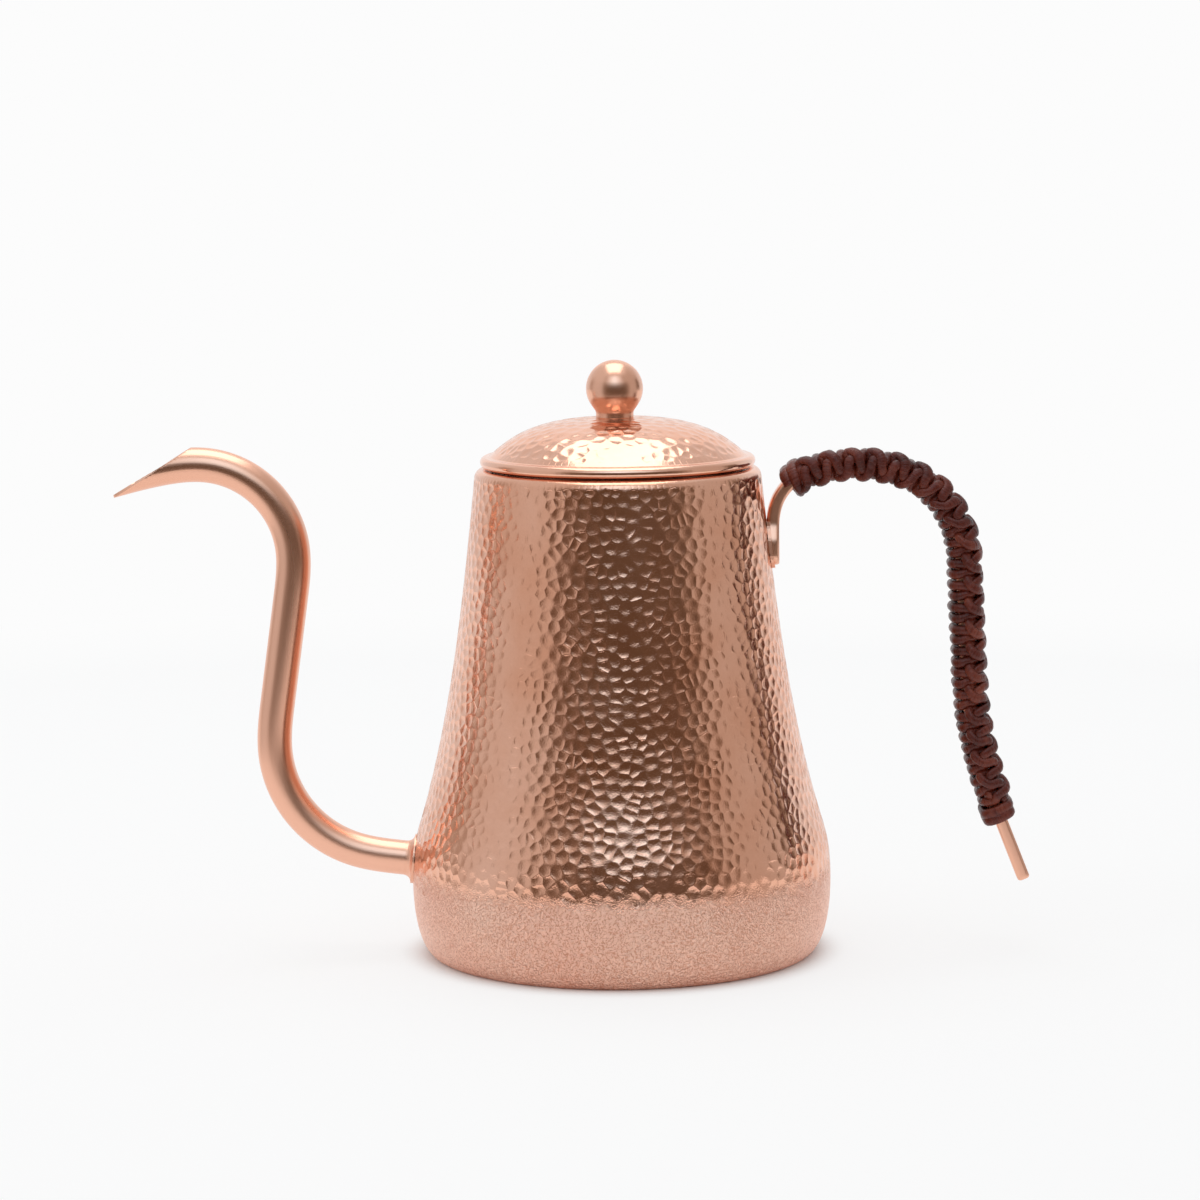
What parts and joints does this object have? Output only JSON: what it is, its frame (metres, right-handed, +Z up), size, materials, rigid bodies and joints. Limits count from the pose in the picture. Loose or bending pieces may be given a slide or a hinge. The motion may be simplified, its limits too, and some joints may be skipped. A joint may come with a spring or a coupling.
{
  "type": "gooseneck kettle",
  "caption": "Hammered copper pour-over kettle: flared body, swan-neck spout with a cut beak, domed drop-in lid with a ball knob, open bent handle laced in leather.",
  "frame": {"origin": "centre of the flat that the kettle stands on, on the body's axis", "axes": "+Z up along the body's axis, -X towards the spout's beak, +X towards the handle"},
  "size_m": [0.2641, 0.1216, 0.172],
  "materials": {
    "hammered_copper": "hammered and waxed copper",
    "polished_copper": "satin polished copper",
    "braze": "brazed seam, brushed",
    "leather": "dark brown waxed leather lace",
    "fastener_brass": "plain turned brass"
  },
  "bodies": {
    "kettle": {"body_shell": "hammered_copper", "spout_tube": "polished_copper", "spout_braze": "braze", "handle_bar": "polished_copper", "handle_braze": "braze", "grip_lace_over": "leather", "grip_lace_under": "leather", "grip_whipping_top": "leather", "grip_whipping_bottom": "leather"},
    "lid": {"lid_dome": "hammered_copper", "lid_collar": "polished_copper", "lid_knob": "polished_copper", "knob_washer": "fastener_brass", "knob_screw": "fastener_brass"}
  },
  "joints": [
    {"name": "lid_lift", "type": "slide", "parent": "kettle", "child": "lid", "axis": [0, 0, 1], "range_m": [0, 0.06]}
  ]
}
